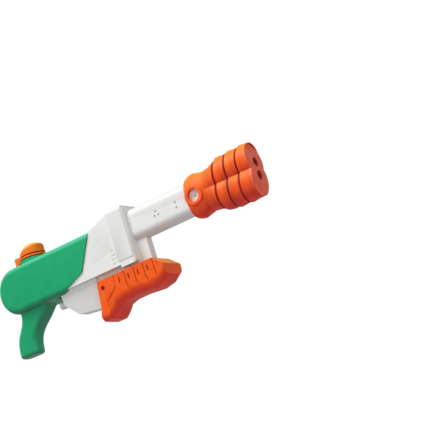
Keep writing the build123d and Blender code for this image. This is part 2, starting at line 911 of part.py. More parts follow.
# Water line and hose
with BuildPart() as water_line:
    with BuildSketch(station(hose_front - line_overlap)):
        Circle(line_radius)
        Circle(line_bore, mode=Mode.SUBTRACT)
    extrude(amount=manifold_x - hose_front + line_overlap - seat_gap)

water_line.part.label = "water_line"
export_step(water_line.part, "parts/water_line.step")

hose_rear = outlet_x + turret_radius + part_gap
hose_z = outlet_top + fitting_height / 2

with BuildPart() as outlet_hose:
    with BuildLine(middle) as hose_path:
        FilletPolyline((hose_rear, hose_z), (hose_foot_x, hose_z), (hose_rise_x, 0), (hose_front, 0),
                       radius=hose_bend)
    with BuildSketch(station(hose_rear)):
        with Locations((0, hose_z)):
            Circle(hose_radius)
            Circle(hose_bore, mode=Mode.SUBTRACT)
    sweep(path=hose_path.line)

outlet_hose.part.label = "outlet_hose"
export_step(outlet_hose.part, "parts/outlet_hose.step")

# Pump cylinder, its gland and the gland's seal
cylinder_radius = rail_radius - shell_wall - seat_gap
cylinder_bore = cylinder_radius - cylinder_wall
gland_recess = rod_radius + 2 * ring_wire


def pump_ring(x, length, radius, hole):
    """A ring or, without a hole, a disc on the pump's axis."""
    with BuildPart() as form:
        with BuildSketch(station(x)):
            with Locations((0, pump_z)):
                Circle(radius)
                if hole > 0:
                    Circle(hole, mode=Mode.SUBTRACT)
        extrude(amount=length)
    return form.part


def round_ring(x, z, radius, wire):
    """A round-section ring about the pump's direction."""
    place = station(x).location * Location((0, z, 0))
    return place * Torus(radius, wire, mode=Mode.PRIVATE)


pump_cylinder = pump_ring(cylinder_rear, cylinder_front - cylinder_rear, cylinder_radius, cylinder_bore)
pump_cylinder.label = "pump_cylinder"
export_step(pump_cylinder, "parts/pump_cylinder.step")

with BuildPart() as cylinder_gland:
    add(pump_ring(cylinder_front, gland_flange, cylinder_radius, rod_radius + running_gap))
    add(pump_ring(cylinder_front - gland_length, gland_length, cylinder_bore - running_gap / 2,
                  rod_radius + running_gap))
    add(pump_ring(cylinder_front - gland_length, 2 * ring_wire + 2 * part_gap, gland_recess + part_gap, 0.0),
        mode=Mode.SUBTRACT)

cylinder_gland.part.label = "cylinder_gland"
export_step(cylinder_gland.part, "parts/cylinder_gland.step")

gland_seal_x = cylinder_front - gland_length + ring_wire + part_gap
gland_seal = round_ring(gland_seal_x, pump_z, rod_radius + ring_wire + running_gap / 2, ring_wire)
gland_seal.label = "gland_seal"
export_step(gland_seal, "parts/gland_seal.step")

# Piston, piston ring, rod and crosshead
piston_front = cylinder_front - gland_length - stroke_margin - pump_stroke
piston_start = piston_front - piston_length
piston_radius = cylinder_bore - piston_gap
ring_place = piston_start + piston_length / 2
ring_radius = cylinder_bore - ring_wire - running_gap / 2

with BuildPart() as piston:
    add(pump_ring(piston_start, piston_length, piston_radius, 0.0))
    add(pump_ring(ring_place - ring_wire - seat_gap, 2 * (ring_wire + seat_gap), cylinder_bore,
                  ring_radius - ring_wire - seat_gap), mode=Mode.SUBTRACT)
    add(pump_ring(piston_front - rod_end_length, rod_end_length, rod_end_radius, 0.0), mode=Mode.SUBTRACT)

piston.part.label = "piston"
export_step(piston.part, "parts/piston.step")

piston_ring = round_ring(ring_place, pump_z, ring_radius, ring_wire)
piston_ring.label = "piston_ring"
export_step(piston_ring, "parts/piston_ring.step")

with BuildPart() as pump_rod:
    add(pump_ring(piston_front, crosshead_x - piston_front, rod_radius, 0.0))
    add(pump_ring(piston_front - rod_end_length, rod_end_length, rod_end_radius, 0.0))
    add(pump_ring(crosshead_x, rod_end_length, rod_end_radius, 0.0))

pump_rod.part.label = "pump_rod"
export_step(pump_rod.part, "parts/pump_rod.step")

with BuildPart() as crosshead:
    with BuildSketch(station(crosshead_x)):
        with Locations((0, (crosshead_top + crosshead_floor) / 2)):
            RectangleRounded(crosshead_width, crosshead_top - crosshead_floor, 2)
    extrude(amount=crosshead_length)
    add(pump_ring(crosshead_x, rod_end_length, rod_end_radius, 0.0), mode=Mode.SUBTRACT)

crosshead.part.label = "crosshead"
export_step(crosshead.part, "parts/crosshead.step")

# Valve block: a bored bar with an intake turret under the tank and an outlet turret ahead of it
intake_cup_floor = intake_top - intake_cup_depth
intake_seat = intake_top - intake_seat_depth
ball_seat_drop = sqrt(valve_ball_radius ** 2 - valve_seat_radius ** 2)


def upright_post(x, floor, top, radius):
    """A round post or hole that stands on the pump's line between two heights."""
    with BuildPart() as form:
        with BuildSketch(level(floor)):
            with Locations((x, 0)):
                Circle(radius)
        extrude(amount=top - floor)
    return form.part


with BuildPart() as valve_block:
    add(pump_ring(block_rear, cylinder_rear - block_rear, block_radius, 0.0))
    add(pump_ring(cylinder_rear, block_spigot, cylinder_bore - seat_gap, 0.0))
    add(upright_post(intake_x, pump_z, intake_top, turret_radius))
    add(upright_post(outlet_x, pump_z, outlet_top, turret_radius))
    add(upright_post(intake_x, intake_floor, pump_z, turret_radius))
    add(pump_ring(block_rear, cylinder_rear + block_spigot - block_rear, block_bore, 0.0), mode=Mode.SUBTRACT)
    add(upright_post(intake_x, intake_cup_floor, intake_top, intake_cup_radius), mode=Mode.SUBTRACT)
    add(upright_post(intake_x, intake_seat, intake_top, valve_seat_radius), mode=Mode.SUBTRACT)
    add(upright_post(intake_x, intake_floor, intake_seat, chamber_radius), mode=Mode.SUBTRACT)
    add(upright_post(outlet_x, pump_z, outlet_seat_z, valve_seat_radius), mode=Mode.SUBTRACT)
    add(upright_post(outlet_x, outlet_seat_z, outlet_top, chamber_radius), mode=Mode.SUBTRACT)

valve_block.part.label = "valve_block"
export_step(valve_block.part, "parts/valve_block.step")


def valve_ball(x, z):
    """A ball valve's ball."""
    return level(z).location * Location((x, 0, 0)) * Sphere(valve_ball_radius, mode=Mode.PRIVATE)


def valve_spring(x, floor, top):
    """A coil spring that stands between two heights."""
    height = top - floor - spring_wire
    with BuildPart() as form:
        with BuildLine(level(floor + spring_wire / 2)) as coil:
            Helix(height / spring_turns, height, spring_radius, center=(x, 0, 0))
        start = coil.line @ 0
        with BuildSketch(Plane(origin=start, z_dir=coil.line % 0)):
            Circle(spring_wire / 2)
        sweep(path=coil.line, is_frenet=True)
    return form.part


intake_ball_z = intake_seat - ball_seat_drop - running_gap / 2
intake_ball = valve_ball(intake_x, intake_ball_z)
intake_ball.label = "intake_ball"
export_step(intake_ball, "parts/intake_ball.step")

intake_plug_top = intake_floor + intake_plug_height
intake_plug = upright_post(intake_x, intake_floor, intake_plug_top, chamber_radius - running_gap)
intake_plug.label = "intake_plug"
export_step(intake_plug, "parts/intake_plug.step")

intake_spring = valve_spring(intake_x, intake_plug_top, intake_ball_z - valve_ball_radius)
intake_spring.label = "intake_spring"
export_step(intake_spring, "parts/intake_spring.step")

with BuildPart() as intake_grommet:
    with BuildSketch(level(intake_cup_floor + seat_gap)):
        with Locations((intake_x, 0)):
            Circle(intake_cup_radius - running_gap)
            Circle(nipple_radius + nipple_wall + running_gap, mode=Mode.SUBTRACT)
    extrude(amount=intake_cup_depth - 1)

intake_grommet.part.label = "intake_grommet"
export_step(intake_grommet.part, "parts/intake_grommet.step")

outlet_ball_z = outlet_seat_z + ball_seat_drop + running_gap / 2
outlet_ball = valve_ball(outlet_x, outlet_ball_z)
outlet_ball.label = "outlet_ball"
export_step(outlet_ball, "parts/outlet_ball.step")

fitting_inside = outlet_top + fitting_height - fitting_roof
outlet_spring = valve_spring(outlet_x, outlet_ball_z + valve_ball_radius, fitting_inside)
outlet_spring.label = "outlet_spring"
export_step(outlet_spring, "parts/outlet_spring.step")

with BuildPart() as outlet_fitting:
    add(upright_post(outlet_x, outlet_top, outlet_top + fitting_height, fitting_radius))
    with BuildSketch(station(outlet_x)):
        with Locations((0, hose_z)):
            Circle(hose_bore - running_gap)
    extrude(amount=fitting_radius + barb_reach)
    spring_room = spring_radius + 3 * spring_wire / 2
    add(upright_post(outlet_x, outlet_top, fitting_inside, spring_room), mode=Mode.SUBTRACT)
    with BuildSketch(station(outlet_x)):
        with Locations((0, hose_z)):
            Circle(line_bore)
    extrude(amount=fitting_radius + barb_reach, mode=Mode.SUBTRACT)

outlet_fitting.part.label = "outlet_fitting"
export_step(outlet_fitting.part, "parts/outlet_fitting.step")

# Rear plug: closes the block's bore through the keel's rear wall
plug_head = keel_rear_x - 2 * plug_seal_wire - 2 * part_gap

with BuildPart() as rear_plug:
    add(pump_ring(keel_rear_x - plug_reach, plug_head - keel_rear_x + plug_reach, plug_radius, 0.0))
    rim = rear_plug.faces().sort_by(Axis.X)[0].edges()
    fillet(rim, 1.5)
    add(pump_ring(plug_head, keel_rear_x - plug_head + plug_spigot, block_bore - running_gap, 0.0))

rear_plug.part.label = "rear_plug"
export_step(rear_plug.part, "parts/rear_plug.step")

plug_seal = round_ring((plug_head + keel_rear_x) / 2, pump_z, plug_seal_radius, plug_seal_wire)
plug_seal.label = "plug_seal"
export_step(plug_seal, "parts/plug_seal.step")


def handle_form(inset):
    """The pump handle lofted through its sections and met with its side outline, moved in by inset."""
    half = handle_width / 2 - inset
    roof = handle_top - inset
    with BuildPart() as form:
        for x, floor, corner in handle_sections:
            low = floor + inset
            turn = corner - inset
            bend = turn * (1 - sqrt(0.5))
            with BuildSketch(station(x)):
                with BuildLine():
                    Polyline((-half, low + turn), (-half, roof), (half, roof), (half, low + turn))
                    ThreePointArc((half, low + turn), (half - bend, low + bend), (half - turn, low))
                    Line((half - turn, low), (turn - half, low))
                    ThreePointArc((turn - half, low), (bend - half, low + bend), (-half, low + turn))
                make_face()
        loft(ruled=True)
        with BuildSketch(middle):
            with BuildLine():
                Polyline((handle_rear_x, handle_top), (nose_chamfer_x, handle_top),
                         (handle_nose_x, nose_chamfer_z), (handle_nose_x, -axis_height - 1),
                         (handle_rear_x - 11, -axis_height - 1),
                         (handle_rear_x - 10, -140), (handle_rear_x - 5, -123), close=True)
            make_face()
            offset(amount=-inset, kind=Kind.INTERSECTION)
        extrude(amount=half + 1, both=True, mode=Mode.INTERSECT)
    return form.part


# Pump handle: two hollow halves that run on the rail and carry the crosshead
handle_outer = handle_form(0.0)
handle_inner = handle_form(handle_wall)
handle_core = handle_form(groove_depth)
handle_screw_places = [(-94, -138, 30), (-30, -114, 29.5), (38, -110, 30)]
crosshead_rear_rib = crosshead_x - seat_gap - rib_thickness
crosshead_front_rib = crosshead_x + crosshead_length + seat_gap
rib_places = guide_rib_places + [crosshead_rear_rib, crosshead_front_rib]

with BuildPart() as handle_grooves:
    with BuildSketch(middle):
        for step in range(groove_count):
            x = groove_first_x + groove_pitch * step
            with BuildLine():
                Polyline((x, handle_top + 1), (x, -103), (x + 3, -112), (x + 10, -120))
            trace(line_width=groove_width)
        with BuildLine():
            Polyline((-58, handle_top + 1), (-58, -96), (-80, -117), (-78, -136), (-84, -151))
        trace(line_width=groove_width)
        with BuildLine():
            Polyline((-72, -105), (-85, -117.5), (-83, -136), (-89, -151))
        trace(line_width=groove_width)
        for step in range(-1, groove_count):
            with Locations((groove_first_x + groove_pitch * step + dash_lead, handle_top - 14)):
                SlotOverall(dash_length, dash_width, rotation=90)
        with Locations((-86, -91)):
            Circle(thumb_dent_radius)
    extrude(amount=handle_width, both=True)
    add(handle_core, mode=Mode.SUBTRACT)

with BuildPart() as handle_inside:
    with BuildSketch(middle):
        with Locations(*[(x, z) for x, z, half in handle_screw_places]):
            Circle(boss_radius)
        with Locations(*[(x, handle_top) for x in rib_places]):
            Rectangle(rib_thickness, 2 * axis_height, align=(Align.MIN, Align.CENTER))
    extrude(amount=handle_width, both=True)
    add(handle_inner, mode=Mode.INTERSECT)

with BuildPart() as pump_handle:
    add(handle_outer)
    add(handle_inner, mode=Mode.SUBTRACT)
    add(handle_inside.part)
    add(handle_grooves.part, mode=Mode.SUBTRACT)
    with BuildSketch(station(handle_sections[0][0])):
        with Locations((0, pump_z)):
            Circle(rail_radius + rail_gap)
        with Locations((0, handle_top)):
            Rectangle(2 * (rail_radius + rail_gap), 2 * (handle_top - pump_z))
    extrude(amount=1 - handle_sections[0][0], mode=Mode.SUBTRACT)
    with BuildSketch(middle):
        Rectangle(2 * web_slot_end, 2 * (1 - web_foot))
    extrude(amount=web_width / 2 + rail_gap, both=True, mode=Mode.SUBTRACT)
    add(pump_ring(0, crosshead_x, rod_radius + slide_gap, 0.0), mode=Mode.SUBTRACT)
    with BuildSketch(upright(handle_width)):
        with Locations(*[(x, z) for x, z, half in handle_screw_places]):
            Circle(screw_radius + seat_gap)
    extrude(amount=handle_width + screw_grip + 1, mode=Mode.SUBTRACT)

with BuildPart() as handle_right:
    add(pump_handle.part)
    split(bisect_by=Plane.XZ, keep=Keep.TOP)

handle_right.part.label = "handle_right"
export_step(handle_right.part, "parts/handle_right.step")

with BuildPart() as handle_left:
    add(pump_handle.part)
    split(bisect_by=Plane.XZ, keep=Keep.BOTTOM)
    for x, z, half in handle_screw_places:
        with BuildSketch(upright(half - screw_head_height - screw_sink)):
            with Locations((x, z)):
                Circle(screw_head_radius + part_gap)
        extrude(amount=-handle_width, mode=Mode.SUBTRACT)

handle_left.part.label = "handle_left"
export_step(handle_left.part, "parts/handle_left.step")

handle_screw_forms = [screw(x, z, half) for x, z, half in handle_screw_places]

with BuildPart() as handle_screws:
    add(handle_screw_forms)

handle_screws.part.label = "handle_screws"
export_step(handle_screws.part, "parts/handle_screws.step")
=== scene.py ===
import json
import math

import bmesh
import bpy
import numpy as np
from mathutils import Matrix, Vector


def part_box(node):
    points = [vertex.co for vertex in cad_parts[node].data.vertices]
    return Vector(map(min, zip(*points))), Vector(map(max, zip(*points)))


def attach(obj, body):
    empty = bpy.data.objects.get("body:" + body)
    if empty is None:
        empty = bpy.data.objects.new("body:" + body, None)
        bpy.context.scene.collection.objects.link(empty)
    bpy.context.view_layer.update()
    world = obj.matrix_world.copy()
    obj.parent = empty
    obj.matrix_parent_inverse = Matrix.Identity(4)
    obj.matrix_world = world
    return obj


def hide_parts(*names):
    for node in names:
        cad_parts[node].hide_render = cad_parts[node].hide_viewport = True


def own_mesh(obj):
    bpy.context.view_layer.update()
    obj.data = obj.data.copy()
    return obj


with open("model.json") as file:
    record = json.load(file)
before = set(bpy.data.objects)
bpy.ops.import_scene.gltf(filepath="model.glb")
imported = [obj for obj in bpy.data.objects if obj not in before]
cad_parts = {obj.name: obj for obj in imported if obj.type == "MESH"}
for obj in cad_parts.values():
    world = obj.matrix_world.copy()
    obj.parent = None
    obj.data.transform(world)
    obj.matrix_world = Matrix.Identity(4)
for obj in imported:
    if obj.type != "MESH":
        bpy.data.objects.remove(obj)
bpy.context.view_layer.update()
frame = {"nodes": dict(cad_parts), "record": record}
nodes = frame["nodes"]

# Lengths are in metres: the barrel's axis above the ground, the muzzle ahead of the body's front
# face, and the filler neck behind that face
AXIS_HEIGHT = 0.150
MUZZLE_REACH = 0.278
NECK_BACK = 0.238

ground_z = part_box("water_tank")[0][2]
axis_z = ground_z + AXIS_HEIGHT
muzzle_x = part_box("nozzle_face")[1][0]
front_x = muzzle_x - MUZZLE_REACH
neck_x = front_x - NECK_BACK

# Finishes: each moulding has three linear shades, for faces that look down, aside and up, which paint
# shade on faces that look down and light on faces that look up
PAINTED_LIGHT_STOPS = (0.15, 0.5, 0.9)
CLOUD_SCALE = 60.0
CLOUD_DETAIL = 4.0
CLOUD_RANGE = (0.3, 0.7)
SKIN_SCALE = 700.0
SKIN_DEPTH = 0.0004
WEAR_SCALE = 300.0
WEAR_SPREAD = 0.05

TANK_SHADE_TO_LIGHT = ((0.0, 0.17, 0.075), (0.0, 0.37, 0.145), (0.06, 0.62, 0.34))
HANDLE_SHADE_TO_LIGHT = ((0.66, 0.030, 0.010), (0.90, 0.108, 0.008), (1.0, 0.30, 0.010))
HEAD_SHADE_TO_LIGHT = ((0.62, 0.030, 0.012), (0.90, 0.110, 0.012), (1.0, 0.27, 0.014))
FACE_SHADE_TO_LIGHT = ((0.62, 0.040, 0.020), (0.90, 0.140, 0.070), (1.0, 0.27, 0.12))
CAP_SHADE_TO_LIGHT = ((0.72, 0.045, 0.010), (0.93, 0.19, 0.010), (1.0, 0.44, 0.025))
SHELL_SHADE_TO_LIGHT = ((0.56, 0.55, 0.55), (0.80, 0.80, 0.79), (0.86, 0.86, 0.85))
PUMP_GREY = (0.58, 0.59, 0.58)
TUBE_GREY = (0.45, 0.47, 0.46)
MARK_GREY = (0.42, 0.43, 0.44)
# A dark red that paints the shade in the handle's and head's grooves and in the cap's flange gaps
CREASE_SHADE_RED = (0.26, 0.008, 0.006)
# A dark red for the outlet tubes that paints the shade inside the outlet holes
OUTLET_HOLE_SHADE_RED = (0.30, 0.012, 0.006)
SEAL_BLACK = (0.02, 0.02, 0.02)
ZINC = (0.55, 0.56, 0.55, 1.0)
EVEN = (1.0, 1.0, 1.0)
UPRIGHT_STREAKS = (1.0, 1.0, 0.25)


def add_node(tree, kind, **values):
    """A shader node with some inputs set; an underscore stands for a space in an input's name."""
    node = tree.nodes.new("ShaderNode" + kind)
    for name, value in values.items():
        node.inputs[name.replace("_", " ")].default_value = value
    return node


def new_finish(name):
    """A new material with its node tree and its shader."""
    material = bpy.data.materials.new(name)
    material.use_nodes = True
    return material, material.node_tree, material.node_tree.nodes["Principled BSDF"]


def paint_light_by_facing(tree, place, shade_to_light):
    """A colour ramp over the upward part of a face's own direction, from down to up: painted shade on
    faces that look down, painted light on faces that look up.
    """
    facing = add_node(tree, "SeparateXYZ")
    share = add_node(tree, "MapRange", From_Min=-1.0)
    tint = add_node(tree, "ValToRGB")
    tint.color_ramp.elements.new(PAINTED_LIGHT_STOPS[1])
    for stop, position, colour in zip(tint.color_ramp.elements, PAINTED_LIGHT_STOPS, shade_to_light):
        stop.position = position
        stop.color = (*colour, 1.0)
    tree.links.new(place.outputs["Normal"], facing.inputs["Vector"])
    tree.links.new(facing.outputs["Z"], share.inputs["Value"])
    tree.links.new(share.outputs["Result"], tint.inputs["Fac"])
    return tint.outputs["Color"]


def moulded_plastic(name, shade_to_light, roughness, gloss, grain, mottle, stretch=EVEN):
    """A moulded plastic: painted shade and light by the face's direction, varied by a cloudy noise, with
    a fine skin.
    """
    material, tree, shader = new_finish(name)
    shader.inputs["Roughness"].default_value = roughness
    shader.inputs["Specular IOR Level"].default_value = gloss
    place = add_node(tree, "TexCoord")
    tint = paint_light_by_facing(tree, place, shade_to_light)
    spread = add_node(tree, "Mapping", Scale=stretch)
    cloud = add_node(tree, "TexNoise", Scale=CLOUD_SCALE, Detail=CLOUD_DETAIL)
    level = add_node(tree, "MapRange", From_Min=CLOUD_RANGE[0], From_Max=CLOUD_RANGE[1],
                     To_Min=1.0 - mottle, To_Max=1.0 + mottle)
    shade = add_node(tree, "VectorMath")
    shade.operation = "SCALE"
    skin = add_node(tree, "TexNoise", Scale=SKIN_SCALE)
    bump = add_node(tree, "Bump", Strength=grain, Distance=SKIN_DEPTH)
    tree.links.new(place.outputs["Object"], spread.inputs["Vector"])
    tree.links.new(spread.outputs["Vector"], cloud.inputs["Vector"])
    tree.links.new(cloud.outputs["Fac"], level.inputs["Value"])
    tree.links.new(tint, shade.inputs[0])
    tree.links.new(level.outputs["Result"], shade.inputs["Scale"])
    tree.links.new(shade.outputs["Vector"], shader.inputs["Base Color"])
    tree.links.new(spread.outputs["Vector"], skin.inputs["Vector"])
    tree.links.new(skin.outputs["Fac"], bump.inputs["Height"])
    tree.links.new(bump.outputs["Normal"], shader.inputs["Normal"])
    return material


def plain_metal(name, colour, roughness):
    """A bare metal with a faint change of gloss from a fine noise."""
    material, tree, shader = new_finish(name)
    shader.inputs["Base Color"].default_value = colour
    shader.inputs["Metallic"].default_value = 1.0
    place = add_node(tree, "TexCoord")
    wear = add_node(tree, "TexNoise", Scale=WEAR_SCALE)
    span = add_node(tree, "MapRange", To_Min=roughness - WEAR_SPREAD, To_Max=roughness + WEAR_SPREAD)
    tree.links.new(place.outputs["Object"], wear.inputs["Vector"])
    tree.links.new(wear.outputs["Fac"], span.inputs["Value"])
    tree.links.new(span.outputs["Result"], shader.inputs["Roughness"])
    return material


green_plastic = moulded_plastic("tank_green_plastic", TANK_SHADE_TO_LIGHT,
                                roughness=0.34, gloss=0.45, grain=0.05, mottle=0.05)
orange_plastic = moulded_plastic("orange_plastic", HANDLE_SHADE_TO_LIGHT,
                                 roughness=0.42, gloss=0.22, grain=0.05, mottle=0.05)
head_plastic = moulded_plastic("nozzle_head_plastic", HEAD_SHADE_TO_LIGHT, stretch=UPRIGHT_STREAKS,
                               roughness=0.46, gloss=0.22, grain=0.35, mottle=0.26)
white_plastic = moulded_plastic("shell_white_plastic", SHELL_SHADE_TO_LIGHT,
                                roughness=0.40, gloss=0.35, grain=0.04, mottle=0.02)
pump_plastic = moulded_plastic("pump_white_plastic", (PUMP_GREY,) * 3,
                               roughness=0.5, gloss=0.4, grain=0.05, mottle=0.03)
tube_plastic = moulded_plastic("soft_tube_plastic", (TUBE_GREY,) * 3,
                               roughness=0.35, gloss=0.5, grain=0.04, mottle=0.03)
face_plastic = moulded_plastic("nozzle_face_plastic", FACE_SHADE_TO_LIGHT,
                               roughness=0.46, gloss=0.25, grain=0.30, mottle=0.16)
cap_plastic = moulded_plastic("cap_amber_plastic", CAP_SHADE_TO_LIGHT,
                              roughness=0.42, gloss=0.25, grain=0.05, mottle=0.05)
# Painted shade for grooves and gaps
crease_shade = moulded_plastic("painted_groove_and_gap_shade", (CREASE_SHADE_RED,) * 3,
                                 roughness=0.6, gloss=0.15, grain=0.04, mottle=0.05)
mark_plastic = moulded_plastic("mark_grey_plastic", (MARK_GREY,) * 3,
                               roughness=0.5, gloss=0.3, grain=0.04, mottle=0.05)
# Painted shade inside the outlet holes
outlet_hole_shade = moulded_plastic("painted_shade_of_outlet_holes", (OUTLET_HOLE_SHADE_RED,) * 3,
                                 roughness=0.5, gloss=0.3, grain=0.04, mottle=0.05)
seal_rubber = moulded_plastic("seal_black_rubber", (SEAL_BLACK,) * 3,
                              roughness=0.6, gloss=0.3, grain=0.1, mottle=0.05)
zinc_steel = plain_metal("zinc_plated_steel", ZINC, roughness=0.35)

finish_of_slot = {
    "tank_green": green_plastic,
    "shell_white": white_plastic,
    "shell_orange": orange_plastic,
    "pump_plastic": pump_plastic,
    "soft_tube": tube_plastic,
    "seal_rubber": seal_rubber,
    "steel": zinc_steel,
}
slot_of_node = {part["node"]: part["material_slot"] for part in frame["record"]["subparts"]}
finish_of_node = {name: finish_of_slot[slot_of_node[name]] for name in nodes}
# The outlet tubes take a dark red, painted shade inside the outlet holes
finish_of_node["outlet_tube_upper"] = outlet_hole_shade
finish_of_node["outlet_tube_lower"] = outlet_hole_shade
bodies = frame["record"]["behaviour"]["bodies"]
body_of_node = {member: body for body, members in bodies.items() for member in members}

for name, node in nodes.items():
    node.data.materials.clear()
    node.data.materials.append(finish_of_node[name])

# Pieces with the nodes' own forms, their edges rounded
MERGE_DISTANCE = 2e-6
FLAT_ANGLE = math.radians(0.6)
SHARP_ANGLE = math.radians(32.0)
EDGE_SEGMENTS = 3


def soften(node, name, edge, finish):
    """The node's own form with rounded edges: a merged copy, its flat faces joined, then bevelled."""
    mesh = nodes[node].data.copy()
    mesh.name = name
    build = bmesh.new()
    build.from_mesh(mesh)
    bmesh.ops.remove_doubles(build, verts=build.verts, dist=MERGE_DISTANCE)
    bmesh.ops.dissolve_limit(build, angle_limit=FLAT_ANGLE, verts=build.verts, edges=build.edges)
    build.to_mesh(mesh)
    build.free()
    mesh.materials.clear()
    mesh.materials.append(finish)
    mesh.shade_smooth()
    mesh.set_sharp_from_angle(angle=SHARP_ANGLE)
    piece = bpy.data.objects.new(name, mesh)
    bpy.context.scene.collection.objects.link(piece)
    if edge:
        bevel = piece.modifiers.new("rounded_edges", "BEVEL")
        bevel.width = edge
        bevel.segments = EDGE_SEGMENTS
        bevel.limit_method = "ANGLE"
        bevel.angle_limit = SHARP_ANGLE
        bevel.harden_normals = True
    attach(piece, body_of_node[node])
    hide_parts(node)
    return piece


# Recesses with a finish of their own, a grey in the barrel's marks and painted shade in the handle's
# grooves:
# half-widths of the walls, depths, and the part of the side view where they lie, ahead of the front face
# and above the axis
RECESS_SLACK = 0.0001
BARREL_HALF_WIDTH = 0.019
MARK_DEPTH = 0.0007
MARKS_LOW = (0.0, -0.012)
MARKS_HIGH = (0.17, 0.012)
HANDLE_HALF_WIDTH = 0.031
GROOVE_DEPTH = 0.0012
GROOVES_LOW = (-0.2, -0.1075)
GROOVES_HIGH = (0.0365, 0.0)


def recolour_recess(piece, half_width, depth, low, high, finish, one_side=False):
    """Gives the finish to the faces in a wall's recesses, inside a box of the side view; in the handle's
    grooves this finish is painted shade.
    """
    mesh = piece.data
    mesh.materials.append(finish)
    centres = np.empty(3 * len(mesh.polygons))
    mesh.polygons.foreach_get("center", centres)
    ahead, aside, above = centres.reshape(-1, 3).T
    aside = -aside if one_side else np.abs(aside)
    in_recess = (aside > half_width - depth - RECESS_SLACK) & (aside < half_width - RECESS_SLACK)
    in_length = (ahead > front_x + low[0]) & (ahead < front_x + high[0])
    in_height = (above > axis_z + low[1]) & (above < axis_z + high[1])
    recoloured = (in_recess & in_length & in_height).astype(np.int32)
    mesh.polygons.foreach_set("material_index", recoloured)


soften("water_tank", "tank_bottle", 0.0008, green_plastic)
soften("cap_collar", "cap_flange", 0.0005, cap_plastic)
soften("filler_cap", "cap_dome", 0.0005, cap_plastic)
soften("body_shell_right", "body_right_wall", 0.0007, white_plastic)
soften("body_shell_left", "body_left_wall", 0.0007, white_plastic)
barrel_tube = soften("barrel", "barrel_tube", 0.0004, white_plastic)
recolour_recess(barrel_tube, BARREL_HALF_WIDTH, MARK_DEPTH, MARKS_LOW, MARKS_HIGH, mark_plastic,
             one_side=True)
soften("nozzle_sleeve", "nozzle_head", 0.0006, head_plastic)
soften("nozzle_face", "nozzle_front", 0.0012, face_plastic)
for side in ("right", "left"):
    handle_half = soften(f"handle_{side}", f"handle_{side}_half", 0.0004, orange_plastic)
    # The handle's grooves get painted shade
    recolour_recess(handle_half, HANDLE_HALF_WIDTH, GROOVE_DEPTH, GROOVES_LOW, GROOVES_HIGH,
                 crease_shade)
soften("rear_plug", "rear_stub", 0.0005, white_plastic)


def shorten(node, name, anchor, finish):
    """The node's own form, as an unbevelled copy with a mesh of its own; anchor is not used."""
    anchor = (float(anchor[0]), 0.0, float(anchor[2]))
    piece = soften(node, name, 0.0, finish)
    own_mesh(piece)


shorten("intake_spring", "intake_coil",
        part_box("intake_spring")[0], zinc_steel)
shorten("outlet_spring", "outlet_coil",
        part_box("outlet_spring")[1], zinc_steel)
for height in ("upper", "lower"):
    tube = f"outlet_tube_{height}"
    shorten(tube, f"outlet_end_{height}",
            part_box(tube)[0], outlet_hole_shade)

# Nozzle head: distances behind the muzzle, and the half-height, half-width and lobe rise there
HEAD_BACKS = np.array([0.006, 0.038, 0.070, 0.080, 0.092])
HEAD_HALF_HEIGHTS = np.array([0.0510, 0.0505, 0.0490, 0.0455, 0.0405])
HEAD_HALF_WIDTHS = np.array([0.0284, 0.0284, 0.0282, 0.0272, 0.0254])
HEAD_LOBE_RISES = np.array([0.0195, 0.0195, 0.0185, 0.0160, 0.0110])

# Nozzle ribs: overlapping bands that stand highest just ahead of their groove
RIB_RAKE = math.tan(math.radians(7.0))
RIB_STARTS = (0.0768, 0.0516, 0.0264)
RIB_LENGTHS = (0.0216, 0.0216, 0.0190)
RIB_HEIGHT = 0.0019
RIB_SINK = 0.0014
RIB_SHOULDER = 0.0022
RIB_FRONT_SINK = 0.0003
BAND_FLOOR = -0.0020
BAND_STEPS = 288
RAKE_ROUNDS = 3
# Thin dark bands in the ribs' grooves, which paint the shade there
GROOVE_START = 0.0036
GROOVE_LENGTH = 0.0038
GROOVE_HEIGHT = 0.0001
GROOVE_STEPS = 5
STEP_ANGLE = math.radians(40.0)


def head_radius(angle, back, grown):
    """Distance from the axis to the head's two lobes, grown outwards by grown.

    Along (cos, sin) of the angle each lobe's ellipse, half-width w, half-height h and centre
    +-rise, is met at t = (-b + sqrt(b b - 4 a c)) / 2 a with a = cos cos / w w + sin sin / h h,
    b = -2 rise sin / h h and c = rise rise / h h - 1; the outline is the farther of the two.
    """
    rise = np.interp(back, HEAD_BACKS, HEAD_LOBE_RISES)
    height = np.interp(back, HEAD_BACKS, HEAD_HALF_HEIGHTS) - rise + grown
    width = np.interp(back, HEAD_BACKS, HEAD_HALF_WIDTHS) + grown
    a = np.cos(angle) ** 2 / width ** 2 + np.sin(angle) ** 2 / height ** 2
    b = -2 * rise * np.sin(angle) / height ** 2
    c = rise ** 2 / height ** 2 - 1
    root = np.sqrt(b ** 2 - 4 * a * c)
    return np.maximum((-b + root) / (2 * a), (b + root) / (2 * a))


def closed_band(name, points, finish, body):
    """A mesh from a grid of points that closes on itself both ways, smooth but for its steps."""
    around, across = points.shape[:2]
    first = np.arange(around)[:, None] * across + np.arange(across)[None, :]
    right = np.roll(first, -1, axis=1)
    faces = np.stack([first, right, np.roll(right, -1, axis=0), np.roll(first, -1, axis=0)], axis=-1)
    mesh = bpy.data.meshes.new(name)
    mesh.from_pydata(points.reshape(-1, 3).tolist(), [], faces.reshape(-1, 4).tolist())
    build = bmesh.new()
    build.from_mesh(mesh)
    bmesh.ops.recalc_face_normals(build, faces=build.faces)
    build.to_mesh(mesh)
    build.free()
    mesh.materials.append(finish)
    mesh.shade_smooth()
    mesh.set_sharp_from_angle(angle=STEP_ANGLE)
    piece = bpy.data.objects.new(name, mesh)
    bpy.context.scene.collection.objects.link(piece)
    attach(piece, body)


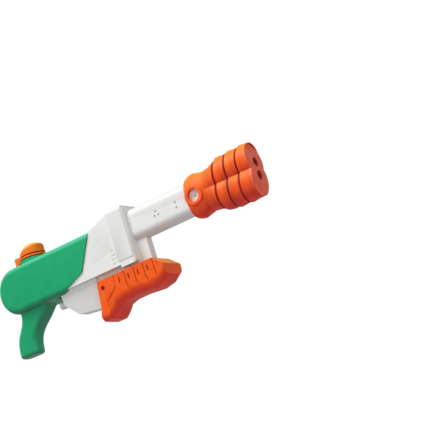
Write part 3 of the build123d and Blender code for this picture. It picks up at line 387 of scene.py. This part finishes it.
def nozzle_band(name, start, ahead, outer, finish):
    """A band about the head on raked planes: outer gives its height at each distance ahead.

    At each angle x = muzzle - (start - ahead) + rake z, y = r cos, z = r sin, with r the head's
    radius at that x, found by putting z into x and x into r three times.
    """
    way = np.concatenate([ahead, ahead[::-1]])
    grown = np.concatenate([outer, np.full(len(ahead), BAND_FLOOR)])[None, :]
    angle = np.linspace(0.0, 2 * math.pi, BAND_STEPS, endpoint=False)[:, None]
    plane_back = start - way[None, :]
    radius = head_radius(angle, plane_back, grown)
    for _ in range(RAKE_ROUNDS):
        radius = head_radius(angle, plane_back - RIB_RAKE * radius * np.sin(angle), grown)
    rise = radius * np.sin(angle)
    along = muzzle_x - plane_back + RIB_RAKE * rise
    points = np.stack([along, radius * np.cos(angle), axis_z + rise], axis=-1)
    closed_band(name, points, finish, "nozzle")


def nozzle_rib(name, start, length):
    """One rib: its shoulder climbs as the root of the way ahead, then falls in a straight line."""
    shoulder = np.linspace(0.0, 1.0, 9) ** 2 * RIB_SHOULDER
    ahead = np.concatenate([shoulder, np.linspace(2 * RIB_SHOULDER, length, 14)])
    climb = np.sqrt(np.clip(ahead / RIB_SHOULDER, 0.0, 1.0))
    fallen = np.clip((ahead - RIB_SHOULDER) / (length - RIB_SHOULDER), 0.0, 1.0)
    top = RIB_HEIGHT * (1.0 - fallen)
    outer = -RIB_SINK + climb * (RIB_SINK + top) - fallen * RIB_FRONT_SINK
    nozzle_band(name, start, ahead, outer, head_plastic)


# The grooves' dark bands: painted shade
groove_ahead = np.linspace(0.0, GROOVE_LENGTH, GROOVE_STEPS)
groove_outer = np.full(GROOVE_STEPS, GROOVE_HEIGHT)
for count, (start, length) in enumerate(zip(RIB_STARTS, RIB_LENGTHS)):
    nozzle_rib(f"nozzle_rib_{count + 1}", start, length)
    nozzle_band(f"nozzle_groove_shade_{count + 1}", start + GROOVE_START, groove_ahead, groove_outer,
                crease_shade)

# The shaded gaps above and below the cap's flange, painted as thin dark rings on the neck's collar
GAP_RADIUS = 0.0224
GAP_THICKNESS = 0.0009
GAP_STEPS = 128
UPPER_GAP = (0.0313, 0.0339)
LOWER_GAP = (0.0261, 0.0279)


def gap_shade_ring(name, low, high, finish):
    """A ring between two heights above the axis: x = r cos, y = r sin at its section's corners."""
    angle = np.linspace(0.0, 2 * math.pi, GAP_STEPS, endpoint=False)[:, None]
    inner = GAP_RADIUS - GAP_THICKNESS
    radius = np.array([inner, GAP_RADIUS, GAP_RADIUS, inner])[None, :]
    height = np.broadcast_to(axis_z + np.array([low, low, high, high])[None, :], (GAP_STEPS, 4))
    points = np.stack([neck_x + radius * np.cos(angle), radius * np.sin(angle), height], axis=-1)
    closed_band(name, points, finish, body_of_node["cap_collar"])


gap_shade_ring("flange_gap_shade_upper", *UPPER_GAP, crease_shade)
gap_shade_ring("flange_gap_shade_lower", *LOWER_GAP, crease_shade)

# Camera: the photograph's direction, roll and distance, and where the front face's middle shows
CAMERA_TURN = math.radians(28.0)
CAMERA_RISE = math.radians(-13.5)
CAMERA_ROLL = math.radians(17.5)
CAMERA_DISTANCE = 3.0
SENSOR_MM = 36.0
PIXELS_PER_METRE = 540.0
IMAGE_PIXELS = 440.0
AXIS_PIXEL = (135.0, 226.0)


def camera_axes(turn, rise, roll):
    """Unit vectors from the object to the camera and to the picture's right and up."""
    away = np.array([math.sin(turn) * math.cos(rise), -math.cos(turn) * math.cos(rise),
                     math.sin(rise)])
    level_right = np.array([math.cos(turn), math.sin(turn), 0.0])
    level_up = np.cross(away, level_right)
    right = level_right * math.cos(roll) - level_up * math.sin(roll)
    up = level_right * math.sin(roll) + level_up * math.cos(roll)
    return away, right, up


away, right, up = camera_axes(CAMERA_TURN, CAMERA_RISE, CAMERA_ROLL)
offset_right = (AXIS_PIXEL[0] - IMAGE_PIXELS / 2) / PIXELS_PER_METRE
offset_up = (IMAGE_PIXELS / 2 - AXIS_PIXEL[1]) / PIXELS_PER_METRE
axis_point = np.array([front_x, 0.0, axis_z])
camera_place = axis_point + CAMERA_DISTANCE * away - offset_right * right - offset_up * up
camera_data = bpy.data.cameras.new("photo_camera")
camera_data.sensor_width = SENSOR_MM
camera_data.lens = PIXELS_PER_METRE * CAMERA_DISTANCE * SENSOR_MM / IMAGE_PIXELS
camera = bpy.data.objects.new("photo_camera", camera_data)
bpy.context.scene.collection.objects.link(camera)
turned = Matrix((right, up, away)).transposed().to_4x4()
turned.translation = Vector(camera_place)
camera.matrix_world = turned
bpy.context.scene.camera = camera

# Floor, world and lamps
FLOOR_HALF = 6.0
FLOOR_DROP = 1.1
FLOOR_PAINT = (0.85, 0.85, 0.85, 1.0)
FLOOR_ROUGHNESS = 0.9
WHITE_LIGHT = (1.0, 1.0, 1.0, 1.0)
AMBIENT = 0.45
LAMP_AIM = (0.0, 0.0, 0.1)

floor_z = ground_z - FLOOR_DROP
floor_corners = [(x * FLOOR_HALF, y * FLOOR_HALF, floor_z)
                 for x, y in ((-1, -1), (1, -1), (1, 1), (-1, 1))]
floor_mesh = bpy.data.meshes.new("floor")
floor_mesh.from_pydata(floor_corners, [], [(0, 1, 2, 3)])
floor_paint, _, floor_shader = new_finish("pale_floor")
floor_shader.inputs["Base Color"].default_value = FLOOR_PAINT
floor_shader.inputs["Roughness"].default_value = FLOOR_ROUGHNESS
floor_mesh.materials.append(floor_paint)
floor = bpy.data.objects.new("floor", floor_mesh)
bpy.context.scene.collection.objects.link(floor)


def white_surround(ambient):
    """A white background for the camera and clear plastic, and a softer even light for the rest."""
    world = bpy.data.worlds.new("white_surround")
    world.use_nodes = True
    tree = world.node_tree
    back = tree.nodes["Background"]
    back.inputs["Color"].default_value = WHITE_LIGHT
    rays = add_node(tree, "LightPath")
    seen = add_node(tree, "Math")
    seen.operation = "MAXIMUM"
    level = add_node(tree, "MapRange", To_Min=ambient, To_Max=1.0)
    tree.links.new(rays.outputs["Is Camera Ray"], seen.inputs[0])
    tree.links.new(rays.outputs["Is Transmission Ray"], seen.inputs[1])
    tree.links.new(seen.outputs[0], level.inputs["Value"])
    tree.links.new(level.outputs["Result"], back.inputs["Strength"])
    bpy.context.scene.world = world


def area_lamp(name, place, size, power):
    """A square soft lamp at place that points at the object."""
    data = bpy.data.lights.new(name, "AREA")
    data.shape = "SQUARE"
    data.size = size
    data.energy = power
    lamp = bpy.data.objects.new(name, data)
    bpy.context.scene.collection.objects.link(lamp)
    lamp.location = place
    lamp.rotation_euler = (Vector(LAMP_AIM) - Vector(place)).to_track_quat("-Z", "Y").to_euler()


white_surround(AMBIENT)
area_lamp("key_softbox", (-0.6, -1.6, 2.4), size=1.2, power=55.0)
area_lamp("fill_softbox", (1.8, -2.2, 0.4), size=1.5, power=12.0)

bpy.context.scene.view_settings.view_transform = "Standard"
